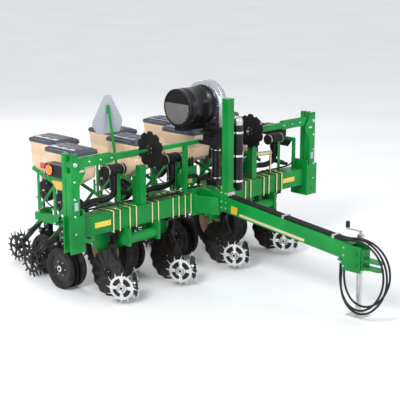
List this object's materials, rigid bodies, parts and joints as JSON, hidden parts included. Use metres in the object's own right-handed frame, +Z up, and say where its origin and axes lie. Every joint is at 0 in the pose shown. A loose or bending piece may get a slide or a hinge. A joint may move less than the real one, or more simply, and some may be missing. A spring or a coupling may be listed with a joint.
{
  "type": "corn planter",
  "caption": "Pull-type twin-row corn planter: square toolbar, sloping tongue, floating row units with seed hoppers, row cleaners, fan, folding markers and lift wheels.",
  "frame": {"origin": "on the ground under the middle of the machine, hoses left out", "axes": "+X along the toolbar to the right, +Y to the rear, +Z up; the tongue points to -Y"},
  "size_m": [3.44, 4.1317, 1.9599],
  "materials": {
    "green_paint": "gloss",
    "black_steel": "satin",
    "zinc_plate": "galvanised",
    "bright_steel": "ground",
    "disc_steel": "dark oiled",
    "beige_plastic": "rotomoulded",
    "black_plastic": "textured",
    "black_rubber": "matte",
    "tyre_rubber": "matte",
    "cast_aluminium": "cast",
    "signal_amber": "lens"
  },
  "bodies": {
    "main_frame": {"toolbar": "green_paint", "tongue": "green_paint", "jack_tube": "zinc_plate", "upright_posts": "green_paint", "fan_housing": "black_steel", "u_bolts": "zinc_plate", "safety_signals": "signal_amber", "hydraulic_hoses": "black_rubber"},
    "jack_leg": {"jack_leg": "zinc_plate"},
    "jack_crank": {"jack_crank": "zinc_plate"},
    "marker_arm_left": {"marker_arm_left": "green_paint"},
    "marker_arm_right": {"marker_arm_right": "green_paint"},
    "marker_outer_left": {"marker_outer_left": "green_paint"},
    "marker_outer_right": {"marker_outer_right": "green_paint"},
    "marker_disc_left": {"marker_disc_left": "disc_steel"},
    "marker_disc_right": {"marker_disc_right": "disc_steel"},
    "fan_rotor": {"fan_rotor": "cast_aluminium"},
    "lift_arms": {"lift_arms": "green_paint"},
    "transport_wheels": {"transport_wheels": "tyre_rubber"},
    "coulters": {"coulters": "disc_steel"},
    "row1_lower_arms": {"row1_lower_arms": "green_paint"},
    "row1_upper_arms": {"row1_upper_arms": "green_paint"},
    "row1_frame": {"row1_frame": "green_paint", "row1_hoppers": "beige_plastic"},
    "row1_lids": {"row1_lids": "black_plastic"},
    "row1_front_gauge_wheels": {"row1_front_gauge_wheels": "tyre_rubber"},
    "row1_rear_gauge_wheels": {"row1_rear_gauge_wheels": "tyre_rubber"},
    "row1_closing_wheels": {"row1_closing_wheels": "black_steel"},
    "row1_cleaner_left": {"row1_cleaner_left": "bright_steel"},
    "row1_cleaner_right": {"row1_cleaner_right": "bright_steel"},
    "row2_lower_arms": {"row2_lower_arms": "green_paint"},
    "row2_upper_arms": {"row2_upper_arms": "green_paint"},
    "row2_frame": {"row2_frame": "green_paint", "row2_hoppers": "beige_plastic"},
    "row2_lids": {"row2_lids": "black_plastic"},
    "row2_front_gauge_wheels": {"row2_front_gauge_wheels": "tyre_rubber"},
    "row2_rear_gauge_wheels": {"row2_rear_gauge_wheels": "tyre_rubber"},
    "row2_closing_wheels": {"row2_closing_wheels": "black_steel"},
    "row2_cleaner_left": {"row2_cleaner_left": "bright_steel"},
    "row2_cleaner_right": {"row2_cleaner_right": "bright_steel"},
    "row3_lower_arms": {"row3_lower_arms": "green_paint"},
    "row3_upper_arms": {"row3_upper_arms": "green_paint"},
    "row3_frame": {"row3_frame": "green_paint", "row3_hoppers": "beige_plastic"},
    "row3_lids": {"row3_lids": "black_plastic"},
    "row3_front_gauge_wheels": {"row3_front_gauge_wheels": "tyre_rubber"},
    "row3_rear_gauge_wheels": {"row3_rear_gauge_wheels": "tyre_rubber"},
    "row3_closing_wheels": {"row3_closing_wheels": "black_steel"},
    "row3_cleaner_left": {"row3_cleaner_left": "bright_steel"},
    "row3_cleaner_right": {"row3_cleaner_right": "bright_steel"},
    "row4_lower_arms": {"row4_lower_arms": "green_paint"},
    "row4_upper_arms": {"row4_upper_arms": "green_paint"},
    "row4_frame": {"row4_frame": "green_paint", "row4_hoppers": "beige_plastic"},
    "row4_lids": {"row4_lids": "black_plastic"},
    "row4_front_gauge_wheels": {"row4_front_gauge_wheels": "tyre_rubber"},
    "row4_rear_gauge_wheels": {"row4_rear_gauge_wheels": "tyre_rubber"},
    "row4_closing_wheels": {"row4_closing_wheels": "black_steel"},
    "row4_cleaner_left": {"row4_cleaner_left": "bright_steel"},
    "row4_cleaner_right": {"row4_cleaner_right": "bright_steel"}
  },
  "joints": [
    {"name": "jack_leg_slide", "type": "slide", "parent": "main_frame", "child": "jack_leg", "axis": [0, 0, 1], "range_m": [0, 0.3]},
    {"name": "jack_crank_turn", "type": "hinge", "parent": "main_frame", "child": "jack_crank", "pos_m": [0.1, -1.7, 0.78], "axis": [0, 0, 1], "range_deg": [0, 10810]},
    {"name": "marker_left_fold", "type": "hinge", "parent": "main_frame", "child": "marker_arm_left", "pos_m": [-1.65, 0.198, 0.62], "axis": [0, -1, 0], "range_deg": [0, 105]},
    {"name": "marker_left_unfold", "type": "hinge", "parent": "marker_arm_left", "child": "marker_outer_left", "pos_m": [-1.65, 0.198, 1.375], "axis": [0, -1, 0], "range_deg": [0, 90]},
    {"name": "marker_left_disc_spin", "type": "hinge", "parent": "marker_outer_left", "child": "marker_disc_left", "pos_m": [-0.7, 0.198, 1.375], "axis": [1, 0, 0], "continuous": true},
    {"name": "marker_right_fold", "type": "hinge", "parent": "main_frame", "child": "marker_arm_right", "pos_m": [1.65, 0.198, 0.62], "axis": [0, 1, 0], "range_deg": [0, 105]},
    {"name": "marker_right_unfold", "type": "hinge", "parent": "marker_arm_right", "child": "marker_outer_right", "pos_m": [1.65, 0.198, 1.375], "axis": [0, 1, 0], "range_deg": [0, 90]},
    {"name": "marker_right_disc_spin", "type": "hinge", "parent": "marker_outer_right", "child": "marker_disc_right", "pos_m": [0.7, 0.198, 1.375], "axis": [1, 0, 0], "continuous": true},
    {"name": "fan_spin", "type": "hinge", "parent": "main_frame", "child": "fan_rotor", "pos_m": [0.09, 0.23, 1.73], "axis": [1, 0, 0], "continuous": true},
    {"name": "lift", "type": "hinge", "parent": "main_frame", "child": "lift_arms", "pos_m": [0, 0.19, 0.565], "axis": [1, 0, 0], "range_deg": [-35, 0]},
    {"name": "transport_wheel_spin", "type": "hinge", "parent": "lift_arms", "child": "transport_wheels", "pos_m": [0, 0.71, 0.33], "axis": [1, 0, 0], "continuous": true},
    {"name": "coulter_spin", "type": "hinge", "parent": "main_frame", "child": "coulters", "pos_m": [0, 0.336, 0.222], "axis": [1, 0, 0], "continuous": true},
    {"name": "row1_float", "type": "hinge", "parent": "main_frame", "child": "row1_lower_arms", "pos_m": [-1.143, 0.42, 0.52], "axis": [1, 0, 0], "range_deg": [-12, 15]},
    {"name": "row1_upper_pivot", "type": "hinge", "parent": "main_frame", "child": "row1_upper_arms", "pos_m": [-1.143, 0.42, 0.7], "axis": [1, 0, 0], "range_deg": [-12, 15]},
    {"name": "row1_level", "type": "hinge", "parent": "row1_lower_arms", "child": "row1_frame", "pos_m": [-1.143, 0.72, 0.52], "axis": [1, 0, 0], "range_deg": [-15, 12]},
    {"name": "row1_lid_lift", "type": "slide", "parent": "row1_frame", "child": "row1_lids", "axis": [0, 0.5, 0.866], "range_m": [0, 0.25]},
    {"name": "row1_front_gauge_spin", "type": "hinge", "parent": "row1_frame", "child": "row1_front_gauge_wheels", "pos_m": [-1.2446, 0.822, 0.203], "axis": [1, 0, 0], "continuous": true},
    {"name": "row1_rear_gauge_spin", "type": "hinge", "parent": "row1_frame", "child": "row1_rear_gauge_wheels", "pos_m": [-1.0414, 1.342, 0.203], "axis": [1, 0, 0], "continuous": true},
    {"name": "row1_closing_spin", "type": "hinge", "parent": "row1_frame", "child": "row1_closing_wheels", "pos_m": [-1.0414, 1.86, 0.165], "axis": [1, 0, 0], "continuous": true},
    {"name": "row1_cleaner_left_spin", "type": "hinge", "parent": "main_frame", "child": "row1_cleaner_left", "pos_m": [-1.231, 0.03, 0.166], "axis": [0.866, 0.5, 0], "continuous": true},
    {"name": "row1_cleaner_right_spin", "type": "hinge", "parent": "main_frame", "child": "row1_cleaner_right", "pos_m": [-1.055, 0.03, 0.166], "axis": [0.866, -0.5, 0], "continuous": true},
    {"name": "row2_float", "type": "hinge", "parent": "main_frame", "child": "row2_lower_arms", "pos_m": [-0.381, 0.42, 0.52], "axis": [1, 0, 0], "range_deg": [-12, 15]},
    {"name": "row2_upper_pivot", "type": "hinge", "parent": "main_frame", "child": "row2_upper_arms", "pos_m": [-0.381, 0.42, 0.7], "axis": [1, 0, 0], "range_deg": [-12, 15]},
    {"name": "row2_level", "type": "hinge", "parent": "row2_lower_arms", "child": "row2_frame", "pos_m": [-0.381, 0.72, 0.52], "axis": [1, 0, 0], "range_deg": [-15, 12]},
    {"name": "row2_lid_lift", "type": "slide", "parent": "row2_frame", "child": "row2_lids", "axis": [0, 0.5, 0.866], "range_m": [0, 0.25]},
    {"name": "row2_front_gauge_spin", "type": "hinge", "parent": "row2_frame", "child": "row2_front_gauge_wheels", "pos_m": [-0.4826, 0.822, 0.203], "axis": [1, 0, 0], "continuous": true},
    {"name": "row2_rear_gauge_spin", "type": "hinge", "parent": "row2_frame", "child": "row2_rear_gauge_wheels", "pos_m": [-0.2794, 1.342, 0.203], "axis": [1, 0, 0], "continuous": true},
    {"name": "row2_closing_spin", "type": "hinge", "parent": "row2_frame", "child": "row2_closing_wheels", "pos_m": [-0.2794, 1.86, 0.165], "axis": [1, 0, 0], "continuous": true},
    {"name": "row2_cleaner_left_spin", "type": "hinge", "parent": "main_frame", "child": "row2_cleaner_left", "pos_m": [-0.469, 0.03, 0.166], "axis": [0.866, 0.5, 0], "continuous": true},
    {"name": "row2_cleaner_right_spin", "type": "hinge", "parent": "main_frame", "child": "row2_cleaner_right", "pos_m": [-0.293, 0.03, 0.166], "axis": [0.866, -0.5, 0], "continuous": true},
    {"name": "row3_float", "type": "hinge", "parent": "main_frame", "child": "row3_lower_arms", "pos_m": [0.381, 0.42, 0.52], "axis": [1, 0, 0], "range_deg": [-12, 15]},
    {"name": "row3_upper_pivot", "type": "hinge", "parent": "main_frame", "child": "row3_upper_arms", "pos_m": [0.381, 0.42, 0.7], "axis": [1, 0, 0], "range_deg": [-12, 15]},
    {"name": "row3_level", "type": "hinge", "parent": "row3_lower_arms", "child": "row3_frame", "pos_m": [0.381, 0.72, 0.52], "axis": [1, 0, 0], "range_deg": [-15, 12]},
    {"name": "row3_lid_lift", "type": "slide", "parent": "row3_frame", "child": "row3_lids", "axis": [0, 0.5, 0.866], "range_m": [0, 0.25]},
    {"name": "row3_front_gauge_spin", "type": "hinge", "parent": "row3_frame", "child": "row3_front_gauge_wheels", "pos_m": [0.2794, 0.822, 0.203], "axis": [1, 0, 0], "continuous": true},
    {"name": "row3_rear_gauge_spin", "type": "hinge", "parent": "row3_frame", "child": "row3_rear_gauge_wheels", "pos_m": [0.4826, 1.342, 0.203], "axis": [1, 0, 0], "continuous": true},
    {"name": "row3_closing_spin", "type": "hinge", "parent": "row3_frame", "child": "row3_closing_wheels", "pos_m": [0.4826, 1.86, 0.165], "axis": [1, 0, 0], "continuous": true},
    {"name": "row3_cleaner_left_spin", "type": "hinge", "parent": "main_frame", "child": "row3_cleaner_left", "pos_m": [0.293, 0.03, 0.166], "axis": [0.866, 0.5, 0], "continuous": true},
    {"name": "row3_cleaner_right_spin", "type": "hinge", "parent": "main_frame", "child": "row3_cleaner_right", "pos_m": [0.469, 0.03, 0.166], "axis": [0.866, -0.5, 0], "continuous": true},
    {"name": "row4_float", "type": "hinge", "parent": "main_frame", "child": "row4_lower_arms", "pos_m": [1.143, 0.42, 0.52], "axis": [1, 0, 0], "range_deg": [-12, 15]},
    {"name": "row4_upper_pivot", "type": "hinge", "parent": "main_frame", "child": "row4_upper_arms", "pos_m": [1.143, 0.42, 0.7], "axis": [1, 0, 0], "range_deg": [-12, 15]},
    {"name": "row4_level", "type": "hinge", "parent": "row4_lower_arms", "child": "row4_frame", "pos_m": [1.143, 0.72, 0.52], "axis": [1, 0, 0], "range_deg": [-15, 12]},
    {"name": "row4_lid_lift", "type": "slide", "parent": "row4_frame", "child": "row4_lids", "axis": [0, 0.5, 0.866], "range_m": [0, 0.25]},
    {"name": "row4_front_gauge_spin", "type": "hinge", "parent": "row4_frame", "child": "row4_front_gauge_wheels", "pos_m": [1.0414, 0.822, 0.203], "axis": [1, 0, 0], "continuous": true},
    {"name": "row4_rear_gauge_spin", "type": "hinge", "parent": "row4_frame", "child": "row4_rear_gauge_wheels", "pos_m": [1.2446, 1.342, 0.203], "axis": [1, 0, 0], "continuous": true},
    {"name": "row4_closing_spin", "type": "hinge", "parent": "row4_frame", "child": "row4_closing_wheels", "pos_m": [1.2446, 1.86, 0.165], "axis": [1, 0, 0], "continuous": true},
    {"name": "row4_cleaner_left_spin", "type": "hinge", "parent": "main_frame", "child": "row4_cleaner_left", "pos_m": [1.055, 0.03, 0.166], "axis": [0.866, 0.5, 0], "continuous": true},
    {"name": "row4_cleaner_right_spin", "type": "hinge", "parent": "main_frame", "child": "row4_cleaner_right", "pos_m": [1.231, 0.03, 0.166], "axis": [0.866, -0.5, 0], "continuous": true}
  ],
  "couplings": [
    {"joint": "jack_crank_turn", "follows": "jack_leg_slide", "rad_per_m": 628.32},
    {"joint": "marker_left_unfold", "follows": "marker_left_fold", "ratio": 0.857},
    {"joint": "marker_right_unfold", "follows": "marker_right_fold", "ratio": 0.857},
    {"joint": "row1_upper_pivot", "follows": "row1_float", "ratio": 1},
    {"joint": "row1_level", "follows": "row1_float", "ratio": -1},
    {"joint": "row2_upper_pivot", "follows": "row2_float", "ratio": 1},
    {"joint": "row2_level", "follows": "row2_float", "ratio": -1},
    {"joint": "row3_upper_pivot", "follows": "row3_float", "ratio": 1},
    {"joint": "row3_level", "follows": "row3_float", "ratio": -1},
    {"joint": "row4_upper_pivot", "follows": "row4_float", "ratio": 1},
    {"joint": "row4_level", "follows": "row4_float", "ratio": -1}
  ]
}
